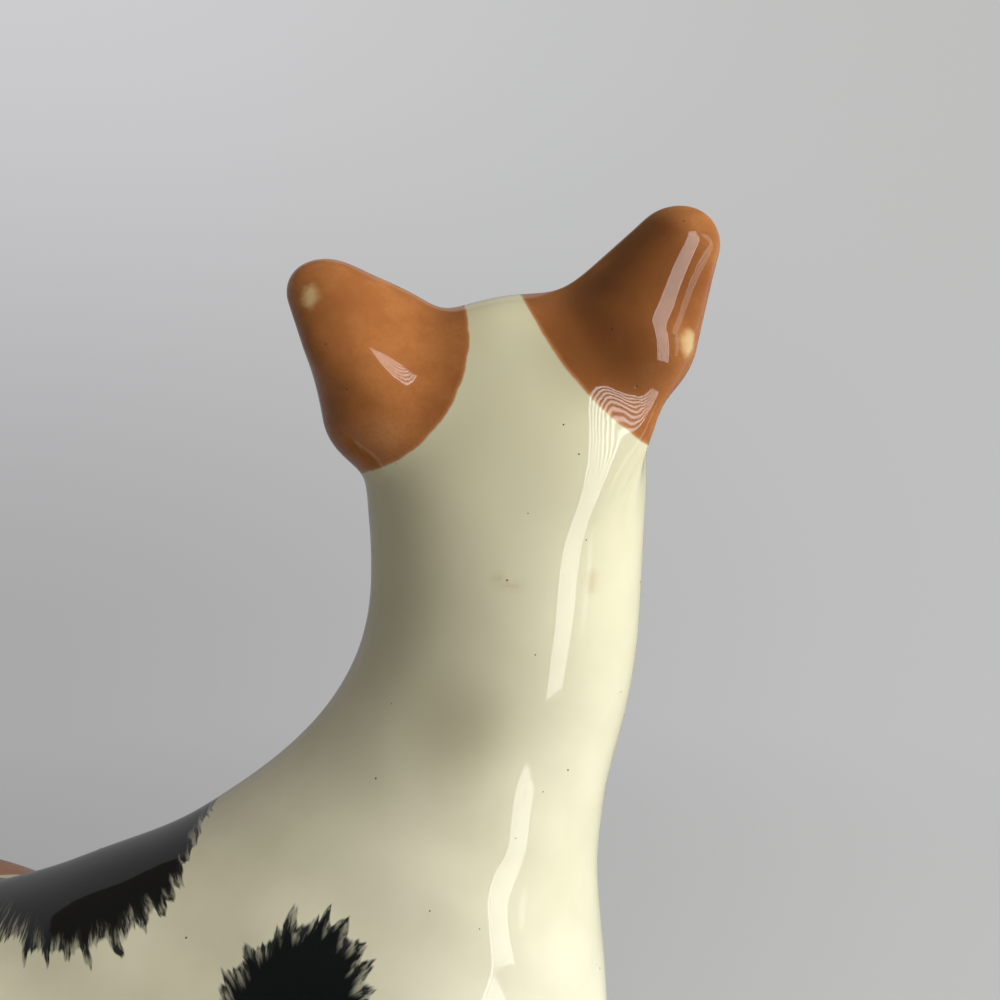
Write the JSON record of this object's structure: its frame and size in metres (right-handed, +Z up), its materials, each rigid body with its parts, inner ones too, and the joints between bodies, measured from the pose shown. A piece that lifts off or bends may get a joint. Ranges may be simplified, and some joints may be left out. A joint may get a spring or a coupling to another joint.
{
  "type": "dog figurine",
  "caption": "Glazed earthenware ornament of a dog lying with its head up and turned to one side, hollow cast, resting on a flat foot with a pour opening.",
  "frame": {"origin": "on the flat foot of the body, below the shoulders", "axes": "+X towards the chest and forepaws, +Y towards the dog's left side, which the face looks to, +Z up"},
  "size_m": [0.2026, 0.1016, 0.1653],
  "materials": {
    "cream_glaze": "glossy clear glaze over cream clay",
    "tan_glaze": "glossy tan-brown painted glaze"
  },
  "bodies": {
    "root": {"body_shell": "cream_glaze", "head_shell": "cream_glaze", "left_ear": "tan_glaze", "right_ear": "tan_glaze", "left_foreleg": "cream_glaze", "right_foreleg": "cream_glaze", "left_hind_foot": "cream_glaze", "right_hind_foot": "cream_glaze", "tail": "tan_glaze"}
  },
  "joints": []
}
